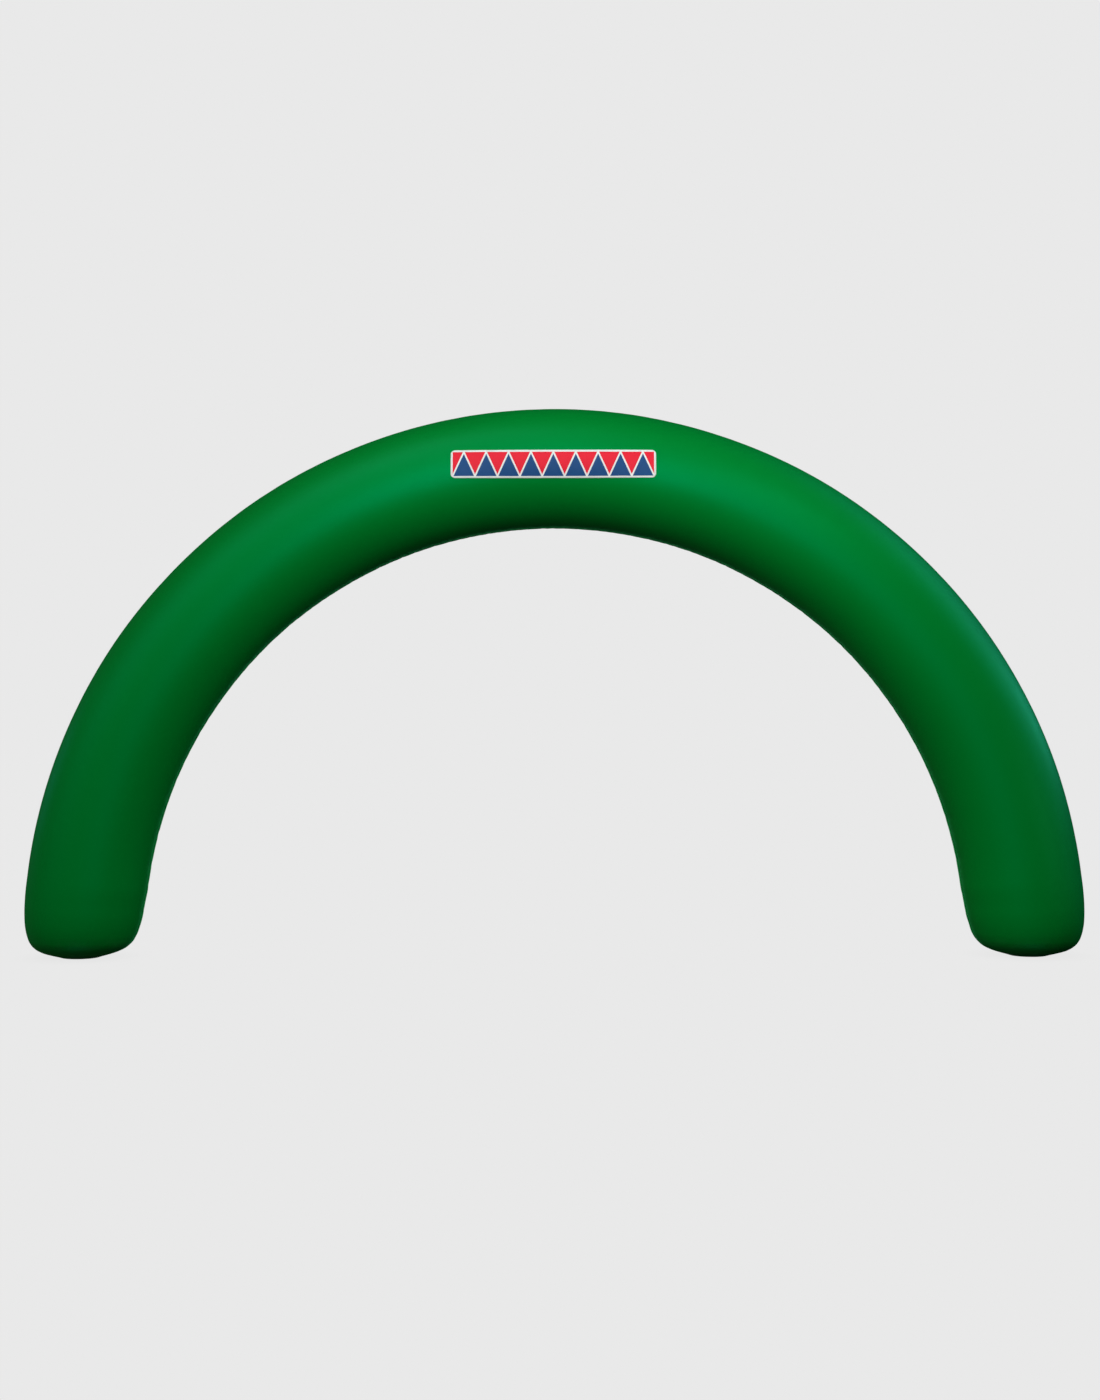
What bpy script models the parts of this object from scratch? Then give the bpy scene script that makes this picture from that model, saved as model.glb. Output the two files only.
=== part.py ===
"""Free-standing inflatable arch.

An air-filled fabric tube is bent in a half circle and stands on two rounded feet. A round base
panel closes the tube under each foot, and a thin printed banner lies across the front of the crown.

Units are metres and +Z is up. The arch spans X, faces -Y and stands on Z = 0, with its origin on
the floor midway between the feet. The model is built from its right half, which Mirror completes.
"""

import math
from typing import NamedTuple

import bmesh
import bpy
from mathutils import Matrix, Vector

# Driving dimensions of the tube
ARC_OUTER_DIAMETER = 6.10
TUBE_RADIUS = 0.3432
ARC_RADIUS = ARC_OUTER_DIAMETER / 2 - TUBE_RADIUS
ARC_CENTRE_HEIGHT = 0.0979

# Fineness of the tube's mesh
TUBE_SIDES = 40
ARC_STEP = math.radians(3.0)

# Base panels
BASE_THICKNESS = 0.0025

# Banner: a straight strip seen from the front, its middle a little below the tube's own
BANNER_LENGTH = 1.15
BANNER_WIDTH = 0.157
BANNER_THICKNESS = 0.002
BANNER_DROP = 0.009
BANNER_LIFT = 0.0006
BANNER_CELLS_LONG = 44
BANNER_CELLS_WIDE = 6
BANNER_CORNER = 0.024
BANNER_CORNER_SEGMENTS = 3

# Room between two pieces that touch
SEAT_GAP = 0.0003

# Meshes: how near two points merge, and the angle past which an edge is shaded sharp
MERGE_DISTANCE = 0.00001
SHARP_ANGLE = math.radians(35)


class FootSection(NamedTuple):
    """A level cut through a foot, where the air-filled tube rounds in to the floor."""

    height: float
    half_width: float
    outset: float


# The base panel's own part of the foot: height above the floor, half width, and how far the
# cut's middle lies outside the arc's own radius.
BASE_OUTSET = 0.024
BASE_SECTIONS = (
    FootSection(0.000, 0.1100, BASE_OUTSET),
    FootSection(0.004, 0.1227, BASE_OUTSET),
    FootSection(0.010, 0.1441, BASE_OUTSET),
    FootSection(0.018, 0.1727, BASE_OUTSET),
    FootSection(0.028, 0.2058, BASE_OUTSET),
)

# The tube's part of the foot, above the base panel's ring seam.
TUBE_SECTIONS = (
    FootSection(0.044, 0.2423, 0.0220),
    FootSection(0.062, 0.2685, 0.0190),
    FootSection(0.085, 0.2892, 0.0165),
    FootSection(0.120, 0.3071, 0.0145),
    FootSection(0.170, 0.3221, 0.0125),
    FootSection(0.240, 0.3333, 0.0085),
    FootSection(0.330, 0.3393, 0.0050),
    FootSection(0.450, TUBE_RADIUS, 0.0000),
)
FOOT_X = ARC_RADIUS + BASE_OUTSET

# Finishes: linear colour and roughness
TUBE_GREEN = (0.002, 0.235, 0.062, 1.0)
TUBE_ROUGHNESS = 0.42
BASE_GREEN = (0.002, 0.110, 0.030, 1.0)
BASE_ROUGHNESS = 0.60
BANNER_WHITE = (0.780, 0.770, 0.730, 1.0)
BANNER_ROUGHNESS = 0.50


def clear_scene():
    """Remove what the opened scene holds."""
    for item in list(bpy.data.objects):
        bpy.data.objects.remove(item, do_unlink=True)


def new_collection(name):
    """A collection of this name, linked under the scene's own."""
    collection = bpy.data.collections.new(name)
    bpy.context.scene.collection.children.link(collection)
    return collection


def fabric(name, colour, roughness):
    """A coated cloth: a Principled BSDF with no metal in it."""
    material = bpy.data.materials.new(name)
    material.use_nodes = True
    shader = material.node_tree.nodes["Principled BSDF"]
    shader.inputs["Base Color"].default_value = colour
    shader.inputs["Roughness"].default_value = roughness
    shader.inputs["Metallic"].default_value = 0.0
    return material


def add_object(name, bm, collection, material):
    """A named object of the finished bmesh, shaded smooth but for its sharp edges."""
    mesh = bpy.data.meshes.new(name)
    bm.to_mesh(mesh)
    bm.free()
    mesh.materials.append(material)
    mesh.shade_smooth()
    mesh.set_sharp_from_angle(angle=SHARP_ANGLE)
    item = bpy.data.objects.new(name, mesh)
    collection.objects.link(item)
    return item


def raised_profile(wall):
    """The base panel's turned profile moved up into the foot by wall, cut level at the seam.

    Each point moves along the mean normal of the two lines that meet there, far enough for the
    lines to be wall apart. The last point stays at the seam's height.
    """
    points = [Vector((s.half_width, s.height)) for s in BASE_SECTIONS]
    points.insert(0, Vector((0.0, 0.0)))
    runs = [(b - a).normalized() for a, b in zip(points, points[1:])]
    normals = [Vector((-run.y, run.x)) for run in runs]
    raised = [points[0] + normals[0] * wall]
    for point, before, after in zip(points[1:-1], normals, normals[1:]):
        raised.append(point + (before + after) * wall / (1 + before.dot(after)))
    end = points[-1] + normals[-1] * wall
    raised.append(end - runs[-1] * (end.y - points[-1].y) / runs[-1].y)
    return raised


def ring_place(angle, reach, half_width):
    """The matrix that sets a unit circle square across the arc, angle up from its level centre."""
    out = Vector((math.cos(angle), 0, math.sin(angle)))
    middle = Vector((0, 0, ARC_CENTRE_HEIGHT)) + out * reach
    tilt = Matrix.Rotation(-angle, 4, "Y")
    return Matrix.Translation(middle) @ tilt @ Matrix.Scale(half_width, 4)


def section_place(section):
    """The matrix that sets a unit circle as this section, level below the arc's centre."""
    rise = section.height - ARC_CENTRE_HEIGHT
    reach = ARC_RADIUS + section.outset
    if rise > 0:
        return ring_place(math.asin(rise / ARC_RADIUS), reach, section.half_width)
    middle = Vector((reach, 0, section.height))
    return Matrix.Translation(middle) @ Matrix.Scale(section.half_width, 4)


def half_tube_places():
    """Where each ring of the right half of the tube goes, from under the foot to the crown.

    The lowest rings line the base panel, up to a ledge that sits just above its rim.
    """
    seat = raised_profile(BASE_THICKNESS + SEAT_GAP)[1:]
    seam = BASE_SECTIONS[-1]
    lining = [FootSection(point.y, point.x, BASE_OUTSET) for point in seat]
    lining[-1] = lining[-1]._replace(height=seam.height + SEAT_GAP)
    ledge = FootSection(seam.height + 2 * SEAT_GAP, seam.half_width + SEAT_GAP, BASE_OUTSET)
    places = [section_place(section) for section in (*lining, ledge, *TUBE_SECTIONS)]
    start = math.asin((TUBE_SECTIONS[-1].height - ARC_CENTRE_HEIGHT) / ARC_RADIUS)
    steps = round((math.pi / 2 - start) / ARC_STEP)
    for step in range(1, steps + 1):
        angle = start + (math.pi / 2 - start) * step / steps
        places.append(ring_place(angle, ARC_RADIUS, TUBE_RADIUS))
    return places


def build_envelope(collection, material):
    """The tube: a closed circle extruded from ring to ring, up to the crown, and mirrored."""
    bm = bmesh.new()
    places = half_tube_places()
    ring = bmesh.ops.create_circle(bm, cap_ends=True, segments=TUBE_SIDES, radius=1.0)["verts"]
    bmesh.ops.transform(bm, matrix=places[0], verts=ring)
    edges = list(bm.edges)
    for before, after in zip(places, places[1:]):
        grown = bmesh.ops.extrude_edge_only(bm, edges=edges)["geom"]
        ring = [part for part in grown if isinstance(part, bmesh.types.BMVert)]
        edges = [part for part in grown if isinstance(part, bmesh.types.BMEdge)]
        bmesh.ops.transform(bm, matrix=after @ before.inverted(), verts=ring)
    for vert in ring:
        vert.co.x = 0.0
    bmesh.ops.recalc_face_normals(bm, faces=bm.faces)
    envelope = add_object("envelope", bm, collection, material)
    mirror = envelope.modifiers.new("mirror", "MIRROR")
    mirror.use_axis[0] = True
    mirror.merge_threshold = MERGE_DISTANCE


def base_panel_mesh(material):
    """The base panel's half profile, an open outline with both ends on the turning axis."""
    under = [Vector((s.half_width, s.height)) for s in BASE_SECTIONS]
    outline = raised_profile(BASE_THICKNESS) + under[::-1] + [Vector((0.0, 0.0))]
    bm = bmesh.new()
    verts = [bm.verts.new((point.x, 0, point.y)) for point in outline]
    for first, second in zip(verts, verts[1:]):
        bm.edges.new((first, second))
    mesh = bpy.data.meshes.new("base_panel")
    bm.to_mesh(mesh)
    bm.free()
    mesh.materials.append(material)
    return mesh


def build_base_panels(collection, material):
    """A base panel under each foot, turned about the foot's own upright axis."""
    mesh = base_panel_mesh(material)
    for name, side in (("base_left", -1), ("base_right", 1)):
        panel = bpy.data.objects.new(name, mesh)
        panel.location = (side * FOOT_X, 0, 0)
        collection.objects.link(panel)
        screw = panel.modifiers.new("turn", "SCREW")
        screw.axis = "Z"
        screw.angle = math.tau
        screw.steps = TUBE_SIDES
        screw.render_steps = TUBE_SIDES
        screw.use_merge_vertices = True
        screw.merge_threshold = MERGE_DISTANCE
        screw.use_smooth_shade = True


def on_tube_front(x, z, lift):
    """The point of the tube's front at this x and z, lift outside its skin."""
    across = Vector((x, 0, z - ARC_CENTRE_HEIGHT))
    middle = across.normalized() * ARC_RADIUS
    aside = across - middle
    forward = math.sqrt((TUBE_RADIUS + lift) ** 2 - aside.length_squared)
    return Vector((x, -forward, z))


def build_banner(collection, material):
    """The banner: a grid with rounded corners, laid on the tube's front, then given thickness."""
    bm = bmesh.new()
    bmesh.ops.create_grid(bm, x_segments=BANNER_CELLS_LONG, y_segments=BANNER_CELLS_WIDE, size=0.5)
    bmesh.ops.scale(bm, vec=(BANNER_LENGTH, BANNER_WIDTH, 1), verts=bm.verts)
    corners = [vert for vert in bm.verts if len(vert.link_edges) == 2]
    bmesh.ops.bevel(
        bm,
        geom=corners,
        offset=BANNER_CORNER,
        segments=BANNER_CORNER_SEGMENTS,
        profile=0.5,
        affect="VERTICES",
        material=-1,
    )
    middle_height = ARC_CENTRE_HEIGHT + ARC_RADIUS - BANNER_DROP
    for vert in bm.verts:
        vert.co = on_tube_front(vert.co.x, middle_height + vert.co.y, BANNER_LIFT)
    bm.normal_update()
    banner = add_object("banner", bm, collection, material)
    wall = banner.modifiers.new("thickness", "SOLIDIFY")
    wall.thickness = BANNER_THICKNESS
    wall.offset = 1.0


def main():
    """Build every piece of the arch."""
    clear_scene()
    arch = new_collection("inflatable_arch")
    build_envelope(arch, fabric("tube_fabric", TUBE_GREEN, TUBE_ROUGHNESS))
    build_base_panels(arch, fabric("base_fabric", BASE_GREEN, BASE_ROUGHNESS))
    build_banner(arch, fabric("banner_fabric", BANNER_WHITE, BANNER_ROUGHNESS))


main()
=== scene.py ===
"""Looks of a free-standing inflatable arch.

An air-filled tube of coated green cloth is bent in a half circle and stands on two rounded feet.
The tube is sewn from a front and a back panel, which meet in a felled seam on the outer and on the
inner line of the arch. A round base panel closes it under each foot, and a thin printed banner is
stitched across the front of the crown.

Sizes are metres and angles radians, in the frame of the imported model: the arch spans X, faces -Y
and stands on Z = 0.
"""

import logging
import math
from dataclasses import dataclass, field
from enum import Enum
from typing import Callable, NamedTuple, Sequence

import bmesh
import bpy
import numpy as np
from bmesh.types import BMEdge, BMesh, BMLayerItem, BMVert
from bpy.types import (
    Light, Material, Node, NodeInputs, NodeOutputs, NodeSocket, NodeTree, Object
)
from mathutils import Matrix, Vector


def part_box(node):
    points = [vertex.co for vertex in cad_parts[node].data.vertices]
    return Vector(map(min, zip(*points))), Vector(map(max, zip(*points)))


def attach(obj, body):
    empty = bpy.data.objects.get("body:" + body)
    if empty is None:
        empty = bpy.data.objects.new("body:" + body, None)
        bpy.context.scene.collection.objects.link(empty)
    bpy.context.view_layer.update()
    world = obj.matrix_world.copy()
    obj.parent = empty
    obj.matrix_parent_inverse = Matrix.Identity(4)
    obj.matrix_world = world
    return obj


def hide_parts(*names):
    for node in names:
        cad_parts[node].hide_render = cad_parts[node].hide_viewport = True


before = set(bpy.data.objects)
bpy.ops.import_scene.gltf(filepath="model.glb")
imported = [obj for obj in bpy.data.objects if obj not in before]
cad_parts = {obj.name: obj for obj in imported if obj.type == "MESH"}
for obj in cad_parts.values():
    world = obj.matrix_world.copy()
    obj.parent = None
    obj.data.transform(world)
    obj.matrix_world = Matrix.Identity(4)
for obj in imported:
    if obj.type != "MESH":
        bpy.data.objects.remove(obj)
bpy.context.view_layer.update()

BODY = "root"
LOG = logging.getLogger("inflatable_arch")

Array = np.ndarray
Colour = tuple[float, float, float, float]
Triple = tuple[float, float, float]
InputValues = dict[str | int, object]


class FootSection(NamedTuple):
    """A level cut through a foot, where the air-filled tube rounds in to the floor."""

    height: float
    half_width: float
    outset: float


FOOT_SECTIONS = (
    # height, half width, how far the cut's middle lies outside the arc's own radius
    FootSection(0.000, 0.1100, 0.0240),
    FootSection(0.004, 0.1227, 0.0240),
    FootSection(0.010, 0.1441, 0.0240),
    FootSection(0.018, 0.1727, 0.0240),
    FootSection(0.028, 0.2058, 0.0240),
    FootSection(0.044, 0.2423, 0.0220),
    FootSection(0.062, 0.2685, 0.0190),
    FootSection(0.085, 0.2892, 0.0165),
    FootSection(0.120, 0.3071, 0.0145),
    FootSection(0.170, 0.3221, 0.0125),
    FootSection(0.240, 0.3333, 0.0085),
    FootSection(0.330, 0.3393, 0.0050),
    FootSection(0.450, 0.3432, 0.0000),
)
FLAT_RADIUS = FOOT_SECTIONS[0].half_width
BASE_SEAM = FOOT_SECTIONS[4]
FOOT_TOP = FOOT_SECTIONS[-1].height
ARC_CENTRE_HEIGHT = 0.0979

# The columns of the tube's mesh: their distances from a seam, close where its band steps up, and
# the usual room between two of them past that.
COLUMNS_BY_SEAM = (
    0.0, 0.004, 0.0078, 0.0084, 0.012, 0.017, 0.024, 0.032, 0.041, 0.052, 0.065, 0.080, 0.098, 0.120
)
COLUMN_GAP = 0.030

# Two points closer than this are one, and two angles closer than this are the same.
SAME_PLACE = 0.00001
SAME_ANGLE = 0.001


class Side(Enum):
    """Which foot of the arch, as the sign of its X."""

    LEFT = -1
    RIGHT = 1


class SeamLine(Enum):
    """A line where the front and back panels meet, as its angle round the tube from outside."""

    OUTER = 0.0
    INNER = math.pi


# ---- Form ----


def within_half_turn(angle: Array) -> Array:
    """Return each angle brought to within half a turn either way."""
    return (angle + math.pi) % (2 * math.pi) - math.pi


@dataclass(frozen=True)
class SmoothTable:
    """A smooth curve through a short table of values.

    Attributes:
        at: the rising places of the values.
        values: the value at each place.
    """

    at: tuple[float, ...]
    values: tuple[float, ...]

    def __call__(self, place: Array) -> Array:
        """Read the curve.

        Args:
            place: where to read it, held to the table's range.

        Returns:
            The value at each place, with no slope at the table's last row.
        """
        at, values = np.array(self.at), np.array(self.values)
        slopes = np.gradient(values, at)
        slopes[-1] = 0.0
        place = np.clip(place, at[0], at[-1])
        low = np.clip(np.searchsorted(at, place) - 1, 0, len(at) - 2)
        span = at[low + 1] - at[low]
        t = (place - at[low]) / span
        rise = t * t * (3 - 2 * t)
        start = t * (1 - t) ** 2 * span * slopes[low]
        end = t * t * (t - 1) * span * slopes[low + 1]
        return values[low] * (1 - rise) + values[low + 1] * rise + start + end


FOOT_HEIGHTS, FOOT_HALF_WIDTHS, FOOT_OUTSETS = zip(*FOOT_SECTIONS)
HALF_WIDTH_AT = SmoothTable(FOOT_HEIGHTS, FOOT_HALF_WIDTHS)
OUTSET_AT = SmoothTable(FOOT_HEIGHTS, FOOT_OUTSETS)
HEIGHT_AT = SmoothTable(FOOT_HALF_WIDTHS, FOOT_HEIGHTS)


@dataclass(frozen=True)
class Puckers:
    """Small creases that a row of stitching draws into the cloth beside it.

    Attributes:
        length: how long the row of stitching is.
        spacing: the usual room between two creases.
        depth: how deep a crease is at the stitching.
        reach: how far a crease runs out from the stitching.
        seed: the draw that sets each crease's place, slant and size.
        shift: how far a crease may stand from its usual place, as a share of the spacing.
        sizes: the least and greatest share of the depth that a crease has.
        widths: its least and greatest width, as a share of the spacing.
        slant: how far it may lean from square across the row.
        side_sizes: the least and greatest share of its size that it has on one side of the row.
    """

    length: float
    spacing: float
    depth: float
    reach: float
    seed: int
    shift: float = 0.38
    sizes: tuple[float, float] = (0.35, 1.0)
    widths: tuple[float, float] = (0.13, 0.20)
    slant: float = 0.45
    side_sizes: tuple[float, float] = (0.3, 1.0)

    def depths(self, along: Array, away: Array) -> Array:
        """Find how deep the creases are.

        Args:
            along: the distance along the row, from its middle.
            away: the signed distance from the row.

        Returns:
            The depth at each point, 0 where the cloth is smooth.
        """
        draw = np.random.default_rng(self.seed)
        depth = np.zeros_like(along)
        for number in range(int(self.length / self.spacing)):
            shift = draw.uniform(-self.shift, self.shift)
            middle = (number + 0.5 + shift) * self.spacing - self.length / 2
            size = draw.uniform(*self.sizes)
            width = self.spacing * draw.uniform(*self.widths)
            slant = draw.uniform(-self.slant, self.slant)
            side_sizes = draw.uniform(*self.side_sizes, size=2)
            near = np.abs(along - middle) < 4 * width + self.reach
            side = np.where(away[near] > 0, side_sizes[0], side_sizes[1])
            off = np.abs(away[near])
            across = (along[near] - middle - slant * off) / (width * (1 + off / self.reach))
            fade = np.exp(-((off / (self.reach * (0.5 + 0.5 * size))) ** 2))
            depth[near] += self.depth * size * side * fade * np.exp(-across * across)
        return depth


@dataclass(frozen=True)
class FelledSeam:
    """A folded seam: a slightly raised band, with the air-filled cloth drawn in beside it.

    Attributes:
        half_band: half the band's width.
        raise_by: how far the band stands over the cloth beside it.
        draw_in: how far the stitching pulls the cloth in.
        draw_reach: how far from the seam that pull is felt.
    """

    half_band: float = 0.008
    raise_by: float = 0.0014
    draw_in: float = 0.0016
    draw_reach: float = 0.040

    def lift(self, away: Array) -> Array:
        """Return how far the cloth lies outside its smooth form, this far from the seam."""
        band = self.raise_by * (np.abs(away) < self.half_band)
        return band - self.draw_in * np.exp(-((away / self.draw_reach) ** 2))


@dataclass(frozen=True)
class TubeForm:
    """The form of the air-filled tube, as a surface that is read by place.

    A place on it is the distance along its middle line, from the crown towards the right foot,
    and the angle round the tube, from its outer line over the front.

    Attributes:
        arc_radius: the radius of the tube's middle line.
        tube_radius: the radius of the tube itself.
        seam: how its two long seams are folded.
        sway: how far the cloth swells or sinks, slowly and unevenly, over its whole length.
        sway_turn: how fast that swell goes round, in radians for each metre.
        sway_lag: how far it lags behind round the tube, in radians.
        base_crease_reach: how far up the tube the base seam's creases may run.
        base_crease_fade: how much sooner these fade on the tube than on the base panel.
    """

    arc_radius: float
    tube_radius: float
    seam: FelledSeam = field(default_factory=FelledSeam)
    sway: float = 0.0007
    sway_turn: float = 5.3
    sway_lag: float = 1.7
    base_crease_reach: float = 0.2
    base_crease_fade: float = 1.5

    @property
    def arc_half_length(self) -> float:
        """The middle line's length from the crown to where a foot starts to round in."""
        foot_angle = math.asin((FOOT_TOP - ARC_CENTRE_HEIGHT) / self.arc_radius)
        return self.arc_radius * (math.pi / 2 - foot_angle)

    @property
    def half_length(self) -> float:
        """The middle line's length from the crown to the base panel's seam."""
        return self.arc_half_length + FOOT_TOP - BASE_SEAM.height

    def cut(self, along: Array) -> tuple[Array, ...]:
        """Find the round cut through the tube at some places along it.

        Args:
            along: distances along the middle line, from the crown.

        Returns:
            The cut's middle (x and z), the direction outwards (x and z) and its half width.
        """
        far = np.abs(along)
        height = FOOT_TOP - (far - self.arc_half_length)
        in_foot = far > self.arc_half_length
        rise = np.clip((height - ARC_CENTRE_HEIGHT) / self.arc_radius, 0, 1)
        angle = np.where(in_foot, np.arcsin(rise), math.pi / 2 - far / self.arc_radius)
        reach = self.arc_radius + np.where(in_foot, OUTSET_AT(height), 0.0)
        half_width = np.where(in_foot, HALF_WIDTH_AT(height), self.tube_radius)
        out_x, out_z = np.cos(angle) * np.where(along < 0, -1, 1), np.sin(angle)
        drop = np.where(in_foot, np.clip(ARC_CENTRE_HEIGHT - height, 0, None), 0.0)
        return out_x * reach, ARC_CENTRE_HEIGHT + out_z * reach - drop, out_x, out_z, half_width

    def from_seam(self, line: SeamLine, angle: Array) -> Array:
        """Return the signed distance round the tube from one of the two long seams."""
        return within_half_turn(angle - line.value) * self.tube_radius

    def seam_puckers(self, line: SeamLine) -> Puckers:
        """Find the creases along one of the two long seams.

        Args:
            line: which seam.

        Returns:
            Its creases, deeper on the inner line, where the cloth is gathered.
        """
        if line is SeamLine.OUTER:
            return Puckers(2 * self.half_length, spacing=0.085, depth=0.0022, reach=0.060, seed=11)
        return Puckers(2 * self.half_length, spacing=0.070, depth=0.0034, reach=0.085, seed=23)

    def base_puckers(self, side: Side) -> Puckers:
        """Return the creases round one base panel's seam."""
        length = 2 * math.pi * BASE_SEAM.half_width
        return Puckers(length, spacing=0.048, depth=0.0022, reach=0.035, seed=37 + side.value)

    def creases(self, along: Array, angle: Array) -> Array:
        """Find how deep the creases by the seams are.

        Args:
            along: distances along the middle line, from the crown.
            angle: angles round the tube.

        Returns:
            The depth at each place.
        """
        depth = np.zeros_like(along)
        for line in SeamLine:
            depth += self.seam_puckers(line).depths(along, self.from_seam(line, angle))
        for side in Side:
            up = self.half_length - along * side.value
            near = up < self.base_crease_reach
            row = within_half_turn(angle[near]) * BASE_SEAM.half_width
            depth[near] += self.base_puckers(side).depths(row, up[near] * self.base_crease_fade)
        return depth

    def lift(self, along: Array, angle: Array) -> Array:
        """Find how far the sewn cloth lies outside the smooth tube.

        Args:
            along: distances along the middle line, from the crown.
            angle: angles round the tube.

        Returns:
            The distance outwards at each place, negative where the cloth is drawn in.
        """
        lift = -self.creases(along, angle)
        for line in SeamLine:
            lift += self.seam.lift(self.from_seam(line, angle))
        swell = np.sin(along * self.sway_turn + self.sway_lag * np.sin(angle))
        swell *= np.sin(2 * angle + along)
        return lift + self.sway * swell

    def skin(self, along: Array, angle: Array, over: float | Array = 0.0) -> Array:
        """Find points on the sewn cloth.

        Args:
            along: distances along the middle line, from the crown.
            angle: angles round the tube.
            over: how far outside the cloth the points are.

        Returns:
            An array of points, a row each.
        """
        middle_x, middle_z, out_x, out_z, half_width = self.cut(along)
        reach = half_width + self.lift(along, angle) + over
        out = reach * np.cos(angle)
        return np.stack(
            (middle_x + out_x * out, -reach * np.sin(angle), middle_z + out_z * out), axis=-1
        )

    def front_place(self, x: Array, z: Array) -> tuple[Array, Array]:
        """Find the places of points on the tube's front.

        Args:
            x: the points' x.
            z: the points' z.

        Returns:
            Their distances along the middle line and their angles round the tube.
        """
        rise = z - ARC_CENTRE_HEIGHT
        aside = np.hypot(x, rise) - self.arc_radius
        return self.arc_radius * np.arctan2(x, rise), np.arccos(aside / self.tube_radius)

    def outwards(self, along: Array, angle: Array) -> Array:
        """Return the direction straight out of the tube at each place."""
        _, _, out_x, out_z, _ = self.cut(along)
        return np.stack((out_x * np.cos(angle), -np.sin(angle), out_z * np.cos(angle)), axis=-1)


# ---- Finishes ----

# Weave: how fine the thick places of the threads are, how high they stand, the light and shade
SLUB_SCALE = 260.0
SLUB_HEIGHT = 0.35
WEAVE_CONTRAST = 0.20

# Signs of use: the scale of the broad and the fine unevenness, and what each changes
BROAD_SCALE, FINE_SCALE = 1.1, 21.0
TONE_CONTRAST = 0.10
ROUGHNESS_SPREAD = 0.08
DUST = (0.16, 0.19, 0.15, 1.0)
DUST_PATCHES = (0.35, 0.75)
DUST_HEIGHTS = (0.01, 0.17)
# Painted shade darkening the seam creases: its near-black green, and the share the deepest crease
# takes
CREASE_SHADE = (0.0, 0.012, 0.004, 1.0)
CREASE_SHADE_SHARE = 0.30
SHEEN_ROUGHNESS = 0.35

# The colour sockets of a Mix node, by their numbers.
MIX_SHARE, MIX_FIRST, MIX_SECOND, MIX_RESULT = 0, 6, 7, 2


@dataclass
class Nodes:
    """A short way to write a shader's node tree."""

    tree: NodeTree

    def add(self, kind: str, **settings: object) -> Node:
        """Add a node.

        Args:
            kind: the shader node's kind.
            settings: its own settings, such as its operation.

        Returns:
            The new node.
        """
        node = self.tree.nodes.new("ShaderNode" + kind)
        for name, value in settings.items():
            setattr(node, name, value)
        return node

    def feed(self, socket: NodeSocket, value: object) -> None:
        """Join a socket to another one, or set a value there.

        Args:
            socket: the socket that is fed.
            value: the other socket, or the value.
        """
        if isinstance(value, NodeSocket):
            self.tree.links.new(value, socket)
        else:
            socket.default_value = value

    def fill(self, inputs: NodeInputs, values: InputValues) -> None:
        """Feed a node's inputs, each given by its name or number."""
        for name, value in values.items():
            self.feed(inputs[name], value)

    def make(self, kind: str, values: InputValues, **settings: object) -> NodeOutputs:
        """Add a node and feed its inputs.

        Args:
            kind: the shader node's kind.
            values: what feeds its inputs, each given by its name or number.
            settings: its own settings, such as its operation.

        Returns:
            Its outputs.
        """
        node = self.add(kind, **settings)
        self.fill(node.inputs, values)
        return node.outputs

    def math(self, operation: str, *values: object) -> NodeSocket:
        """Return the output of a Math node with these inputs."""
        return self.make("Math", dict(enumerate(values)), operation=operation)[0]

    def scaled(self, colour: object, by: object) -> NodeSocket:
        """Return a colour times a number."""
        return self.make("VectorMath", {0: colour, "Scale": by}, operation="SCALE")[0]

    def about_one(self, value: object, contrast: float) -> NodeSocket:
        """Return a value from 0 to 1 taken to a range about 1 that is this wide."""
        return self.math("MULTIPLY_ADD", value, contrast, 1 - contrast / 2)

    def split(self, place: object) -> NodeOutputs:
        """Return the outputs X, Y and Z of a node that parts a place."""
        return self.make("SeparateXYZ", {0: place})

    def mix(self, share: object, first: object, second: object) -> NodeSocket:
        """Return the first colour with this share of the second."""
        values = {MIX_SHARE: share, MIX_FIRST: first, MIX_SECOND: second}
        return self.make("Mix", values, data_type="RGBA")[MIX_RESULT]

    def ramp(self, value: object, low: float, high: float) -> NodeSocket:
        """Return value taken smoothly from 0 at low to 1 at high."""
        values = {"Value": value, "From Min": low, "From Max": high}
        return self.make("MapRange", values, interpolation_type="SMOOTHSTEP")[0]

    def noise(self, place: object, scale: float, detail: float) -> NodeSocket:
        """Return the value of a Noise node, about 0.5 on the whole."""
        values = {"Vector": place, "Scale": scale, "Detail": detail}
        return self.make("TexNoise", values)["Fac"]

    def bump(self, height: object, strength: float, distance: float) -> NodeSocket:
        """Return the normal of a Bump node."""
        values = {"Height": height, "Strength": strength, "Distance": distance}
        return self.make("Bump", values)[0]

    def group(self, tree: NodeTree, values: InputValues) -> NodeOutputs:
        """Return the outputs of a node that places a group, with its inputs filled."""
        return self.make("Group", values, node_tree=tree)


def new_material(name: str, colour: Colour) -> tuple[Material, Nodes, NodeInputs]:
    """Start a material.

    Args:
        name: the material's name.
        colour: its plain colour, for a view without shading.

    Returns:
        The material, its nodes and the inputs of its Principled BSDF.
    """
    material = bpy.data.materials.new(name)
    material.use_nodes = True
    material.diffuse_color = colour
    shader = material.node_tree.nodes["Principled BSDF"]
    return material, Nodes(material.node_tree), shader.inputs


class SocketKind(Enum):
    """The kinds of socket that the shared groups have."""

    NUMBER = "NodeSocketFloat"
    COLOUR = "NodeSocketColor"
    VECTOR = "NodeSocketVector"


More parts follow.
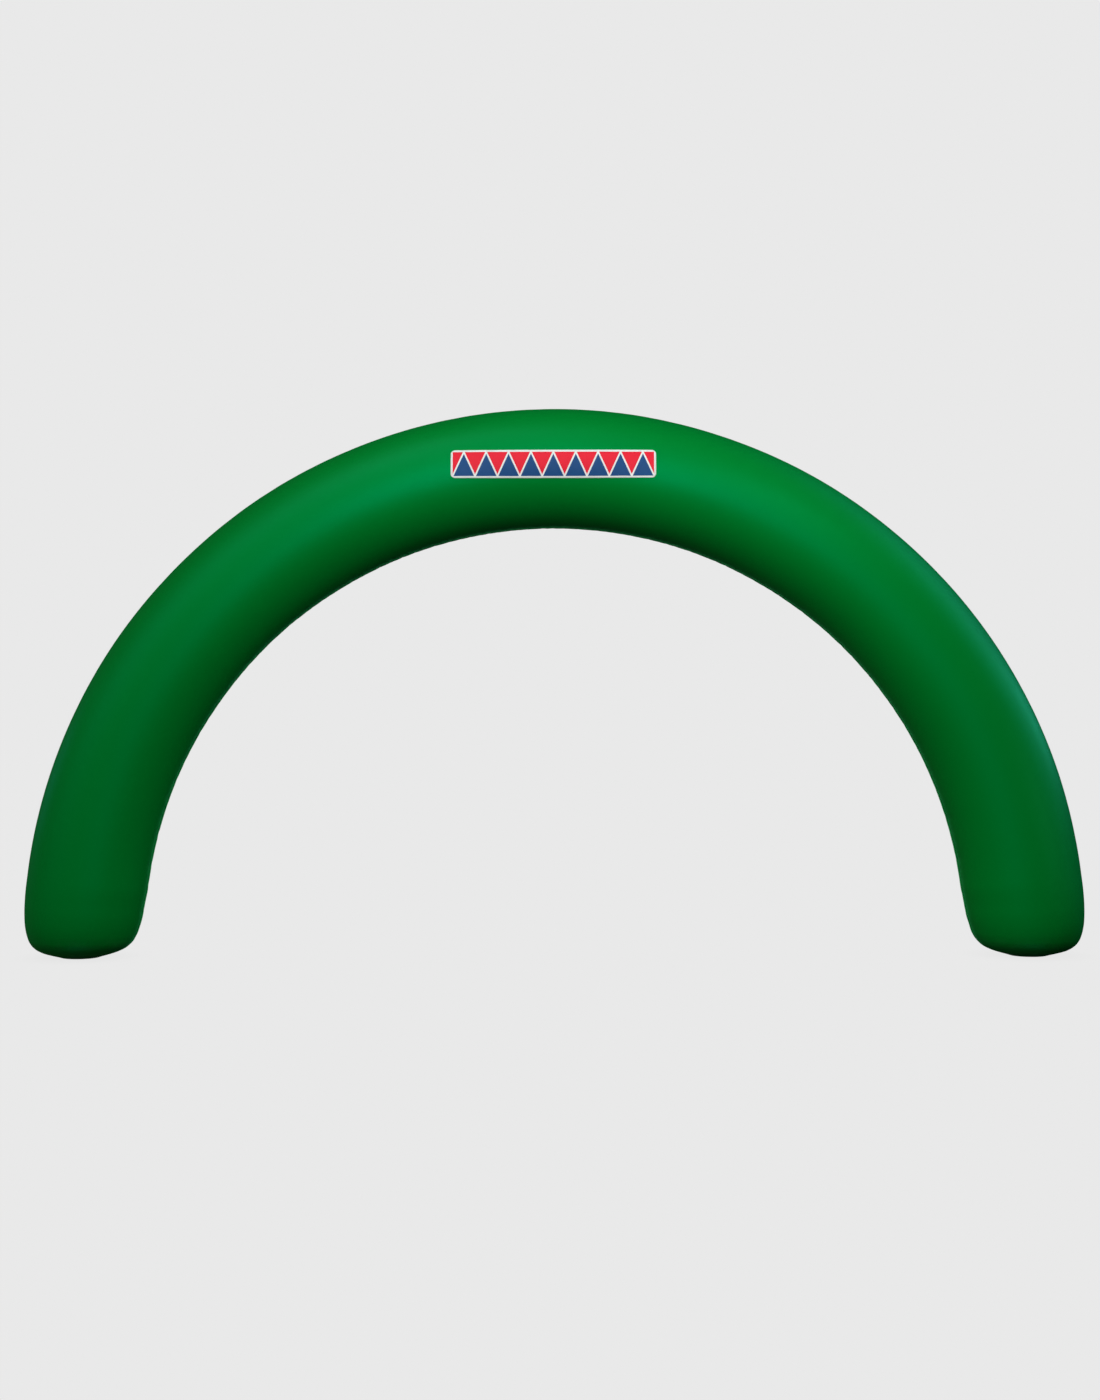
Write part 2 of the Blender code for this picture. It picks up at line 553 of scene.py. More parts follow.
def new_group(
    name: str, inputs: dict[str, SocketKind], outputs: dict[str, SocketKind]
) -> tuple[Nodes, NodeOutputs, NodeInputs]:
    """Start a shader node group.

    Args:
        name: the group's name.
        inputs: the kind of each input, by its name.
        outputs: the kind of each output, by its name.

    Returns:
        The group's nodes, what it is given, and the sockets that take what it makes.
    """
    tree = bpy.data.node_groups.new(name, "ShaderNodeTree")
    for way, sockets in (("INPUT", inputs), ("OUTPUT", outputs)):
        for socket, kind in sockets.items():
            tree.interface.new_socket(socket, in_out=way, socket_type=kind.value)
    given, made = tree.nodes.new("NodeGroupInput"), tree.nodes.new("NodeGroupOutput")
    return Nodes(tree), given.outputs, made.inputs


def plain_weave_group() -> NodeTree:
    """Build the weave that every cloth has: threads that pass over and under each other.

    Returns:
        A group with the cloth's flat place and thread pitch in, and height and shade out.
    """
    nodes, given, made = new_group(
        "plain_weave",
        {"Place": SocketKind.VECTOR, "Pitch": SocketKind.NUMBER},
        {"Height": SocketKind.NUMBER, "Shade": SocketKind.NUMBER},
    )
    place = nodes.split(given["Place"])
    per_metre = nodes.math("DIVIDE", math.pi, given["Pitch"])
    waves = [nodes.math("SINE", nodes.math("MULTIPLY", place[axis], per_metre)) for axis in "XY"]
    height = nodes.math("MULTIPLY_ADD", nodes.math("MULTIPLY", *waves), 0.5, 0.5)
    slub = nodes.noise(given["Place"], SLUB_SCALE, 1.0)
    nodes.feed(made["Height"], nodes.math("MULTIPLY_ADD", slub, SLUB_HEIGHT, height))
    nodes.feed(made["Shade"], nodes.about_one(height, WEAVE_CONTRAST))
    return nodes.tree


def wear_and_crease_shade_group() -> NodeTree:
    """Build signs of use, uneven tone and dust by the floor, and the painted shade in creases.

    Returns:
        A group with the cloth's colour, the crease depth and the dust's share in, and the
        worn colour, with its painted shade in the creases, and a roughness change out.
    """
    nodes, given, made = new_group(
        "wear_and_crease_shade",
        {
            "Colour": SocketKind.COLOUR,
            "Dust Colour": SocketKind.COLOUR,
            "Crease": SocketKind.NUMBER,
            "Dust": SocketKind.NUMBER,
        },
        {"Colour": SocketKind.COLOUR, "Roughness Change": SocketKind.NUMBER},
    )
    place = nodes.add("TexCoord").outputs["Object"]
    broad = nodes.noise(place, BROAD_SCALE, 3.0)
    fine = nodes.noise(place, FINE_SCALE, 4.0)
    toned = nodes.scaled(given["Colour"], nodes.about_one(broad, TONE_CONTRAST))
    low = nodes.math("SUBTRACT", 1.0, nodes.ramp(nodes.split(place)["Z"], *DUST_HEIGHTS))
    patchy = nodes.math("MULTIPLY", nodes.ramp(fine, *DUST_PATCHES), low)
    dust_share = nodes.math("MULTIPLY", patchy, given["Dust"])
    dusty = nodes.mix(dust_share, toned, given["Dust Colour"])
    # Painted shade: the creases darken towards a near-black green, the more the deeper they are
    crease_shade_share = nodes.math("MULTIPLY", given["Crease"], CREASE_SHADE_SHARE)
    nodes.feed(made["Colour"], nodes.mix(crease_shade_share, dusty, CREASE_SHADE))
    spread = nodes.math("SUBTRACT", fine, 0.5)
    nodes.feed(made["Roughness Change"], nodes.math("MULTIPLY", spread, ROUGHNESS_SPREAD))
    return nodes.tree


@dataclass(frozen=True)
class ClothFinish:
    """A coated cloth.

    Attributes:
        name: the material's name.
        colour: the cloth's own linear colour.
        roughness: how matt its coating is.
        specular: the strength of its gloss.
        tint: the colour of its gloss, seen straight on.
        sheen: the strength of the soft light at its edges.
        sheen_tint: the colour of that light.
        pitch: the room from one thread to the next.
        relief: how high the threads stand.
        thread_bump: how strongly that height is felt.
        dust: how much dust it holds near the floor.
    """

    name: str
    colour: Colour
    roughness: float
    specular: float = 0.5
    tint: Colour = (1.0, 1.0, 1.0, 1.0)
    sheen: float = 0.0
    sheen_tint: Colour = (1.0, 1.0, 1.0, 1.0)
    pitch: float = 0.0009
    relief: float = 0.00009
    thread_bump: float = 0.45
    dust: float = 0.0

    def base_colour(self, nodes: Nodes, place: NodeSocket) -> object:
        """Return the cloth's colour before wear, a constant on a plain cloth."""
        return self.colour

    def build(self, weave: NodeTree, wear_and_crease_shade: NodeTree) -> Material:
        """Build the material.

        Args:
            weave: the shared weave.
            wear_and_crease_shade: the shared signs of use, with painted shade in the creases.

        Returns:
            The new material.
        """
        material, nodes, shader = new_material(self.name, self.colour)
        place = nodes.add("UVMap", uv_map="flat_cut").outputs["UV"]
        crease = nodes.add("Attribute", attribute_name="crease").outputs["Fac"]
        threads = nodes.group(weave, {"Place": place, "Pitch": self.pitch})
        colour = self.base_colour(nodes, place)
        # Signs of use, with the creases darkened by painted shade
        worn_and_shaded = nodes.group(
            wear_and_crease_shade, {"Colour": colour, "Dust Colour": DUST, "Crease": crease, "Dust": self.dust}
        )
        nodes.fill(shader, {
            "Base Color": nodes.scaled(worn_and_shaded["Colour"], threads["Shade"]),
            "Roughness": nodes.math("ADD", worn_and_shaded["Roughness Change"], self.roughness),
            "Normal": nodes.bump(threads["Height"], self.thread_bump, self.relief),
            "Specular IOR Level": self.specular,
            "Specular Tint": self.tint,
            "Sheen Weight": self.sheen,
            "Sheen Roughness": SHEEN_ROUGHNESS,
            "Sheen Tint": self.sheen_tint,
        })
        return material


@dataclass(frozen=True)
class ZigzagPrint(ClothFinish):
    """A cloth printed with a row of pointed flags, blue and red in turn, parted by a pale line.

    Attributes:
        size: the printed cloth's length and width.
        margin: the plain border that the print keeps.
        flags: how many flags of each colour there are.
        line: half the width of the pale line.
        blue: the colour of the flags that point up.
        red: the colour of the flags that point down.
    """

    size: tuple[float, float] = (1.15, 0.157)
    margin: float = 0.011
    flags: int = 9
    line: float = 0.0045
    blue: Colour = (0.012, 0.070, 0.245, 1.0)
    red: Colour = (0.930, 0.014, 0.043, 1.0)

    def base_colour(self, nodes: Nodes, place: NodeSocket) -> object:
        """Return the printed colour.

        Args:
            nodes: the material's nodes.
            place: the flat place on the cloth, from its middle.

        Returns:
            The colour socket of the print.
        """
        length, width = self.size
        run = (length - 2 * self.margin) / self.flags
        rise = width - 2 * self.margin
        flat = nodes.split(place)
        across, up = flat["X"], flat["Y"]
        wave = nodes.math("PINGPONG", nodes.math("ADD", across, length / 2 - self.margin), run / 2)
        edge = nodes.math("MULTIPLY_ADD", wave, 2 * rise / run, -rise / 2)
        over = nodes.math("SUBTRACT", up, edge)
        slope = math.hypot(1.0, 2 * rise / run)
        colour = nodes.mix(nodes.math("GREATER_THAN", over, 0.0), self.blue, self.red)
        near = nodes.math("LESS_THAN", nodes.math("ABSOLUTE", over), self.line * slope)
        colour = nodes.mix(near, colour, self.colour)
        for reach, value in ((length / 2, across), (width / 2, up)):
            out = nodes.math("GREATER_THAN", nodes.math("ABSOLUTE", value), reach - self.margin)
            colour = nodes.mix(out, colour, self.colour)
        return colour


@dataclass(frozen=True)
class ThreadFinish:
    """A bonded sewing thread.

    Attributes:
        name: the material's name.
        colour: the thread's linear colour.
        roughness: how matt it is.
        twist: how fine its twisted strands are, in turns a metre.
        relief: how high they stand.
        strand_bump: how strongly that height is felt.
        strand_painted_shade: how much paler than the hollows the strands are painted, as factor and
            addend.
        strand_roughness: how much more matt they are.
    """

    name: str
    colour: Colour
    roughness: float = 0.45
    twist: float = 900.0
    relief: float = 0.0001
    strand_bump: float = 0.5
    strand_painted_shade: tuple[float, float] = (1.5, 0.01)
    strand_roughness: float = 0.1

    def build(self) -> Material:
        """Build the material, with painted light on the strands and painted shade in the hollows.

        Returns:
            The new material.
        """
        material, nodes, shader = new_material(self.name, self.colour)
        place = nodes.add("TexCoord").outputs["Object"]
        strands = nodes.noise(place, self.twist, 2.0)
        # Painted light and shade: the strands paler and the hollows darker, as the bump rises and
        # falls
        factor, more = self.strand_painted_shade
        pale = tuple(min(1.0, factor * part + more) for part in self.colour[:3]) + (1.0,)
        nodes.fill(shader, {
            "Base Color": nodes.mix(strands, self.colour, pale),
            "Roughness": nodes.math("MULTIPLY_ADD", strands, self.strand_roughness, self.roughness),
            "Normal": nodes.bump(strands, self.strand_bump, self.relief),
        })
        return material


# ---- Pieces ----

# What makes a vertex's ring count for more than its angle when vertices are put in order
RING_FIRST = 10_000.0


def new_object(name: str, bm: BMesh, material: Material) -> Object:
    """Make a shown object of a finished bmesh.

    Args:
        name: the object's name.
        bm: its mesh, which is freed.
        material: its finish.

    Returns:
        The new object, at the origin.
    """
    mesh = bpy.data.meshes.new(name)
    bm.to_mesh(mesh)
    bm.free()
    mesh.materials.append(material)
    made = bpy.data.objects.new(name, mesh)
    bpy.context.scene.collection.objects.link(made)
    return made


def add_piece(name: str, bm: BMesh, material: Material) -> Object:
    """Make a smooth-shaded piece of the arch, and report it.

    Args:
        name: the piece's name.
        bm: its mesh, which is freed.
        material: its finish.

    Returns:
        The new piece.
    """
    for face in bm.faces:
        face.smooth = True
    piece = new_object(name, bm, material)
    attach(piece, BODY)
    LOG.info("%s: %d faces", name, len(piece.data.polygons))
    return piece


def face_outwards(bm: BMesh) -> None:
    """Turn the faces of a mesh to point out of it.

    Args:
        bm: a closed mesh.
    """
    bmesh.ops.recalc_face_normals(bm, faces=bm.faces)
    if bm.calc_volume(signed=True) < 0:
        bmesh.ops.reverse_faces(bm, faces=bm.faces)


def number_in_order(bm: BMesh, place: Callable[[BMVert], float]) -> None:
    """Number a mesh's vertices and faces in order, so that every run makes the same mesh.

    Args:
        bm: the mesh.
        place: gives a vertex's place in that order.
    """
    bm.verts.sort(key=place)
    bm.verts.index_update()
    bm.faces.sort(key=lambda face: sum(vert.index**2 for vert in face.verts))


def mark_flat_cut(bm: BMesh) -> None:
    """Keep a mesh's flat place as the cloth's UV map, in metres.

    Args:
        bm: the mesh, not yet laid on the tube.
    """
    flat = bm.loops.layers.uv.new("flat_cut")
    for loop in (loop for face in bm.faces for loop in face.loops):
        loop[flat].uv = loop.vert.co.xy


def thicken(piece: Object, thickness: float) -> None:
    """Give a sheet its thickness, inwards from its face."""
    wall = piece.modifiers.new("thickness", "SOLIDIFY")
    wall.thickness, wall.offset = thickness, -1.0


@dataclass
class AirTube:
    """The air-filled tube itself, one closed sewn cloth.

    Attributes:
        form: the tube's form.
        cloth: its finish.
        ring_gap: the usual distance between two rings of the mesh.
        foot_ring_gap: that distance where a foot turns under.
        foot_turn: the height below which it does.
        full_crease: how deep a crease is that takes the whole painted crease shade.
    """

    form: TubeForm
    cloth: Material
    ring_gap: float = 0.0100
    foot_ring_gap: float = 0.0045
    foot_turn: float = 0.125
    full_crease: float = 0.004

    def ring_angles(self) -> list[float]:
        """Space the mesh's columns, closely beside each seam.

        Returns:
            The angle of each column, once round from the outer line over the front.
        """
        near, total = list(COLUMNS_BY_SEAM), math.pi * self.form.tube_radius
        gap = total - 2 * near[-1]
        count = round(gap / COLUMN_GAP)
        middle = [near[-1] + gap * step / count for step in range(1, count)]
        half = near + middle + [total - off for off in reversed(near)]
        front = [off / self.form.tube_radius for off in half]
        return front + [2 * math.pi - angle for angle in reversed(front[1:-1])]

    def ring_places(self) -> list[float]:
        """Space the mesh's rings, more closely where the feet turn under.

        Returns:
            The distance along the tube of each ring, from the left foot to the right.
        """
        reach = self.foot_turn - BASE_SEAM.height
        turn = self.form.half_length - reach
        long_steps, short_steps = round(turn / self.ring_gap), round(reach / self.foot_ring_gap)
        half = [turn * step / long_steps for step in range(long_steps)]
        half += [turn + reach * step / short_steps for step in range(short_steps + 1)]
        return [-place for place in reversed(half[1:])] + half

    def build(self) -> None:
        """Draw a ring out from foot to foot, cut it into rings and lay it on the sewn form."""
        angles, places = self.ring_angles(), self.ring_places()
        bm = bmesh.new()
        round_layer = bm.verts.layers.float.new("round")
        along_layer = bm.verts.layers.float.new("along")
        start = bmesh.ops.create_circle(bm, segments=len(angles), radius=1.0)["verts"]
        for vert, angle in zip(start, angles):
            vert[round_layer] = angle
        rims = list(bm.edges)
        grown = bmesh.ops.extrude_edge_only(bm, edges=rims)["geom"]
        end = [part for part in grown if isinstance(part, BMVert)]
        rims += [part for part in grown if isinstance(part, BMEdge)]
        bmesh.ops.translate(bm, vec=(0, 0, 1), verts=end)
        for vert in end:
            vert[along_layer] = len(places) - 1
        long_edges = [edge for edge in bm.edges if edge.verts[0].co.z != edge.verts[1].co.z]
        bmesh.ops.subdivide_edges(bm, edges=long_edges, cuts=len(places) - 2)
        for vert in bm.verts:
            vert[along_layer] = places[round(vert[along_layer])]
        bmesh.ops.holes_fill(bm, edges=rims)
        for edge in rims:
            edge.smooth = False
        number_in_order(bm, lambda vert: vert[along_layer] * RING_FIRST + vert[round_layer])
        self.lay_on_form(bm)
        self.lay_flat(bm)
        face_outwards(bm)
        piece = add_piece("tube_skin", bm, self.cloth)
        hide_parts("envelope")

    def lay_on_form(self, bm: BMesh) -> None:
        """Move each vertex to its place on the sewn form, and note how deep its crease is.

        Args:
            bm: the tube's mesh, with each vertex's place in its layers along and round.
        """
        along, angle = (
            np.array([vert[bm.verts.layers.float[name]] for vert in bm.verts])
            for name in ("along", "round")
        )
        points = self.form.skin(along, angle)
        depths = self.form.creases(along, angle)
        crease_layer = bm.verts.layers.float.new("crease")
        for vert, point, depth in zip(bm.verts, points, depths):
            vert.co = point
            vert[crease_layer] = min(1.0, depth / self.full_crease)

    def lay_flat(self, bm: BMesh) -> None:
        """Give each panel its flat cut, in metres, with the two panels parted at their seams.

        Args:
            bm: the tube's mesh, with each vertex's place in its layers along and round.
        """
        flat = bm.loops.layers.uv.new("flat_cut")
        along_layer, round_layer = (bm.verts.layers.float[name] for name in ("along", "round"))
        for face in bm.faces:
            at_back = max(vert[round_layer] for vert in face.verts) > math.pi + SAME_ANGLE
            for loop in face.loops:
                angle = loop.vert[round_layer]
                if at_back and angle > SAME_ANGLE:
                    angle = max(-math.pi, angle - 2 * math.pi)
                loop[flat].uv = (loop.vert[along_layer], angle * self.form.tube_radius)


@dataclass
class BasePanel:
    """The round panel that closes the tube under a foot, a sheet dished up to its seam.

    Attributes:
        form: the tube's form.
        cloth: its finish.
        side: which foot it is under.
        thickness: the heavy cloth's thickness.
        edge_room: how far its edge stays inside the seam.
        rings: how many rings its mesh has in the flat, and in the rise round it.
        steps: how many steps it is turned in.
        rim_start: how far past the flat its creases start.
        crease_rise: how steeply they are pressed in, as a height over the radius.
    """

    form: TubeForm
    cloth: Material
    side: Side
    thickness: float = 0.0025
    edge_room: float = 0.0006
    rings: tuple[int, int] = (8, 12)
    steps: int = 144
    rim_start: float = 0.004
    crease_rise: float = 0.08

    @property
    def name(self) -> str:
        """The name of the CAD node that the panel stands for."""
        return f"base_{self.side.name.lower()}"

    def profile(self) -> list[tuple[float, float]]:
        """Find the panel's half profile.

        Returns:
            The radius and height of each point, from the panel's middle to its seam.
        """
        flat_rings, rise_rings = self.rings
        flat = [(FLAT_RADIUS * step / flat_rings, 0.0) for step in range(flat_rings)]
        radii = np.linspace(FLAT_RADIUS, BASE_SEAM.half_width - self.edge_room, rise_rings)
        heights = np.clip(HEIGHT_AT(radii), 0.0, None)
        return flat + [(float(r), float(h)) for r, h in zip(radii, heights)]

    def flat_radius(self) -> float:
        """Return the radius of the flat round cut."""
        points = self.profile()
        return sum(math.dist(a, b) for a, b in zip(points, points[1:]))

    def build(self) -> None:
        """Turn the profile under the foot, pucker its rim and give it its thickness."""
        bm = bmesh.new()
        verts = [bm.verts.new((radius, 0, height)) for radius, height in self.profile()]
        edges = [bm.edges.new(pair) for pair in zip(verts, verts[1:])]
        bmesh.ops.spin(
            bm, geom=verts + edges, cent=(0, 0, 0), axis=(0, 0, 1), angle=2 * math.pi,
            steps=self.steps, use_merge=True,
        )
        bmesh.ops.remove_doubles(bm, verts=bm.verts, dist=SAME_PLACE)
        number_in_order(
            bm, lambda vert: vert.co.xy.length * RING_FIRST + math.atan2(vert.co.y, vert.co.x)
        )
        mark_flat_cut(bm)
        self.pucker_rim(bm)
        middle = self.side.value * (self.form.arc_radius + BASE_SEAM.outset)
        bmesh.ops.translate(bm, vec=(middle, 0, 0), verts=bm.verts)
        bmesh.ops.recalc_face_normals(bm, faces=bm.faces)
        if sum(face.normal.z for face in bm.faces) > 0:
            bmesh.ops.reverse_faces(bm, faces=bm.faces)
        piece = add_piece(f"{self.name}_panel", bm, self.cloth)
        thicken(piece, self.thickness)
        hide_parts(self.name)
        cut = 2 * self.flat_radius()

    def pucker_rim(self, bm: BMesh) -> None:
        """Draw the seam's creases into the rim, outwards from the flat that the foot stands on.

        Args:
            bm: the panel's mesh, with its middle at the origin.
        """
        verts = [v for v in bm.verts if v.co.xy.length > FLAT_RADIUS + self.rim_start]
        angle = np.array([math.atan2(-v.co.y, v.co.x * self.side.value) for v in verts])
        away = np.array([BASE_SEAM.half_width - v.co.xy.length for v in verts])
        depths = self.form.base_puckers(self.side).depths(angle * BASE_SEAM.half_width, away)
        for vert, depth in zip(verts, depths):
            inwards = Vector((-vert.co.x, -vert.co.y, self.crease_rise)).normalized()
            vert.co += inwards * float(depth)
            vert.co.z = max(vert.co.z, 0.0)


@dataclass
class Banner:
    """The printed strip on the front of the crown.

    Attributes:
        form: the tube's form.
        cloth: its finish.
        length: the strip's length.
        width: the strip's width.
        drop: how far its middle lies under the tube's middle line.
        thickness: the cloth's thickness.
        hem: the width of its doubled border.
        hem_raise: how much thicker the border is.
        over: the room between the strip and the tube.
        corner: the radius of its corners.
        cells: how many cells the mesh has along and across it.
    """

    form: TubeForm
    cloth: Material
    length: float = 1.15
    width: float = 0.157
    drop: float = 0.009
    thickness: float = 0.0012
    hem: float = 0.010
    hem_raise: float = 0.0008
    over: float = 0.0006
    corner: float = 0.024
    cells: tuple[int, int] = (230, 32)

    @property
    def corner_middle(self) -> tuple[float, float]:
        """The flat place of the middle of the corner whose two places are positive."""
        return self.length / 2 - self.corner, self.width / 2 - self.corner

    def lay(self, across: Array, up: Array) -> Array:
        """Lay flat places of the strip's face on the tube's front, with its hem and creases.

        Args:
            across: the distance along the strip, from its middle.
            up: the distance across the strip, from its middle.

        Returns:
            An array of points, a row each.
        """
        half_x, half_y = self.corner_middle
        out_x = np.clip(np.abs(across) - half_x, 0.0, None)
        out_y = np.clip(np.abs(up) - half_y, 0.0, None)
        inside = self.corner - np.hypot(out_x, out_y)
        over = self.over + self.thickness + self.hem_raise * (inside < self.hem)
        creases = Puckers(self.length, spacing=0.034, depth=0.0009, reach=0.014, seed=5)
        over += creases.depths(across, inside)
        middle = ARC_CENTRE_HEIGHT + self.form.arc_radius - self.drop
        return self.form.skin(*self.form.front_place(across, middle + up), over)

    def build(self) -> None:
        """Lay a rounded grid on the tube, raise its hem and give it its thickness."""
        bm = bmesh.new()
        bmesh.ops.create_grid(bm, x_segments=self.cells[0], y_segments=self.cells[1], size=0.5)
        bmesh.ops.scale(bm, vec=(self.length, self.width, 1), verts=bm.verts)
        self.round_corners(bm)
        mark_flat_cut(bm)
        across, up, _ = np.array([vert.co for vert in bm.verts], dtype=float).T
        for vert, point in zip(bm.verts, self.lay(across, up)):
            vert.co = point
        bm.normal_update()
        piece = add_piece("banner_strip", bm, self.cloth)
        thicken(piece, self.thickness)
        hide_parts("banner")

    def round_corners(self, bm: BMesh) -> None:
        """Draw the vertices outside the rounded outline in to it.

        Args:
            bm: the strip's flat mesh.
        """
        half_x, half_y = self.corner_middle
        for vert in bm.verts:
            out = Vector((max(0.0, abs(vert.co.x) - half_x), max(0.0, abs(vert.co.y) - half_y)))
            if min(out) > 0:
                out *= max(out) / out.length
                vert.co.x = math.copysign(half_x + out.x, vert.co.x)
                vert.co.y = math.copysign(half_y + out.y, vert.co.y)


@dataclass
class StitchRow:
    """A row of lockstitches on the cloth.

    Attributes:
        pitch: the room from one stitch to the next.
        share: the share of the pitch that a stitch covers.
        radius: the thread's radius.
        proud: how far a stitch stands out of the cloth, as a share of that radius.
    """

    pitch: float = 0.0065
    share: float = 0.72
    radius: float = 0.0006
    proud: float = 0.6

    def sew(self, rows: Sequence[tuple[Array, Array]]) -> BMesh:
        """Lay a stitch on each run between two points.

        Args:
            rows: each row's points, a pitch apart, and the direction out of the cloth at each.

        Returns:
            A new mesh that holds the stitches.
        """
        runs = np.concatenate([points[1:] - points[:-1] for points, _ in rows])
        middles = np.concatenate([(points[1:] + points[:-1]) / 2 for points, _ in rows])
        outwards = np.concatenate([outs[:-1] for _, outs in rows])
        sides = np.cross(outwards, runs)
        sides /= np.linalg.norm(sides, axis=1)[:, None]
        bm, number = self.heap_of_stitches(len(runs))
        which = np.array([vert[number] for vert in bm.verts])
        shape = np.array([vert.co for vert in bm.verts])
        points = middles[which] + shape[:, :1] * runs[which] * self.share / 2
        points += shape[:, 1:2] * sides[which] * self.radius
        points += shape[:, 2:] * outwards[which] * self.radius * self.proud
        for vert, point in zip(bm.verts, points):
            vert.co = point
        return bm

    def heap_of_stitches(self, count: int) -> tuple[BMesh, BMLayerItem]:
        """Make one stitch and double it until there are enough.

        Args:
            count: how many stitches there are to be.

        Returns:
            The mesh, all its stitches in one place, and the layer with each stitch's number.
        """
        bm = bmesh.new()
        number = bm.verts.layers.int.new("number")
        bmesh.ops.create_icosphere(bm, subdivisions=1, radius=1.0)
        made = 1
        while made < count:
            more = min(made, count - made)
            faces = [face for face in bm.faces if face.verts[0][number] < more]
            copies = bmesh.ops.duplicate(bm, geom=faces)["geom"]
            for part in copies:
                if isinstance(part, BMVert):
                    part[number] += made
            made += more
        return bm, number


@dataclass
class Stitching:
    """All the sewing that shows, a piece for each seam.

    Attributes:
        form: the tube's form.
        thread: the thread's finish.
        row: how a row is sewn.
        row_offset: how far each of a long seam's two rows lies from its middle.
        end_room: how far from the base seam these two rows end.
        base_room: how far over the base seam its own row lies.
        hem_inset: how far inside the banner's outline the row of its hem lies.
        corner_steps: how many steps that row turns a corner in.
    """

    form: TubeForm
    thread: Material
    row: StitchRow = field(default_factory=StitchRow)
    row_offset: float = 0.0048
    end_room: float = 0.012
    base_room: float = 0.006
    hem_inset: float = 0.0045
    corner_steps: int = 6

    def place_row(self, along: Array, angle: Array) -> tuple[Array, Array]:
        """Return a row's points on the tube and the directions out of it."""
        return self.form.skin(along, angle), self.form.outwards(along, angle)

    def sew_long_seam(self, line: SeamLine) -> None:
        """Sew the two rows of a long seam.

        Args:
            line: which seam.
        """
        reach = self.form.half_length - self.end_room
        radius = self.form.arc_radius + math.cos(line.value) * self.form.tube_radius
        count = round(2 * reach * radius / self.form.arc_radius / self.row.pitch)
        along = np.linspace(-reach, reach, count)
        turn = self.row_offset / self.form.tube_radius
        angles = [np.full(count, line.value + side * turn) for side in (-1, 1)]
        rows = [self.place_row(along, angle) for angle in angles]
        name = f"stitches_{line.name.lower()}"
        add_piece(name, self.row.sew(rows), self.thread)

    def sew_base_seam(self, side: Side) -> None:
        """Sew the row round a base panel's seam.

        Args:
            side: which foot.
        """
        count = round(2 * math.pi * BASE_SEAM.half_width / self.row.pitch)
        angle = np.linspace(0, 2 * math.pi, count + 1)
        along = np.full(count + 1, side.value * (self.form.half_length - self.base_room))
        rows = [self.place_row(along, angle)]
        name = f"stitches_base_{side.name.lower()}"
        add_piece(name, self.row.sew(rows), self.thread)

    def sew_banner(self, banner: Banner) -> None:
        """Sew the row round the banner's hem.

        Args:
            banner: the banner.
        """
        half_x, half_y = banner.corner_middle
        turn = banner.corner - self.hem_inset
        flat = []
        for corner, (sign_x, sign_y) in enumerate(((1, 1), (-1, 1), (-1, -1), (1, -1))):
            for step in range(self.corner_steps + 1):
                angle = math.pi / 2 * (corner + step / self.corner_steps)
                place = (sign_x * half_x + math.cos(angle) * turn,
                         sign_y * half_y + math.sin(angle) * turn)
                flat.append(place)
        flat.append(flat[0])
        lengths = np.cumsum([0.0] + [math.dist(a, b) for a, b in zip(flat, flat[1:])])
        at = np.linspace(0, lengths[-1], round(lengths[-1] / self.row.pitch) + 1)
        across, up = (np.interp(at, lengths, places) for places in zip(*flat))
        points = banner.lay(across, up)
        outwards = np.tile((0.0, -1.0, 0.0), (len(points), 1))
        mesh = self.row.sew([(points, outwards)])
        add_piece("stitches_banner", mesh, self.thread)


# ---- Studio ----


FAR_LAMP_WIDTH = math.radians(36)


def hang_light(data: Light, power: float, colour: Triple, towards: Vector, place: Triple) -> None:
    """Hang a light, out of the camera's sight.

    Args:
        data: the light.
        power: its power or strength.
        colour: its colour.
        towards: the way it shines.
        place: where it hangs.
    """
    data.energy, data.color = power, colour
    light = bpy.data.objects.new(data.name, data)
    light.rotation_euler = towards.to_track_quat("-Z", "Y").to_euler()
    light.location = place
    light.visible_camera = False
    bpy.context.scene.collection.objects.link(light)


class Softbox(NamedTuple):
    """A square area light: its name, place, aim, side, power and colour."""

    name: str
    place: Triple
    aim: Triple
    side: float
    power: float
    colour: Triple

    def hang(self) -> None:
        """Hang the softbox in its place."""
        data = bpy.data.lights.new(self.name, "AREA")
        data.shape = "SQUARE"
        data.size = self.side
        towards = Vector(self.aim) - Vector(self.place)
        hang_light(data, self.power, self.colour, towards, self.place)


class FarLamp(NamedTuple):
    """A distant soft lamp: its name, bearing and height in degrees, strength and colour."""

    name: str
    bearing: float
    height: float
    strength: float
    colour: Triple

    def hang(self) -> None:
        """Hang the far lamp, whose place makes no difference."""
        data = bpy.data.lights.new(self.name, "SUN")
        data.angle = FAR_LAMP_WIDTH
        bearing, height = math.radians(self.bearing), math.radians(self.height)
        level = math.cos(height)
        towards = (-math.sin(bearing) * level, math.cos(bearing) * level, -math.sin(height))
        hang_light(data, self.strength, self.colour, Vector(towards), (0.0, 0.0, 0.0))


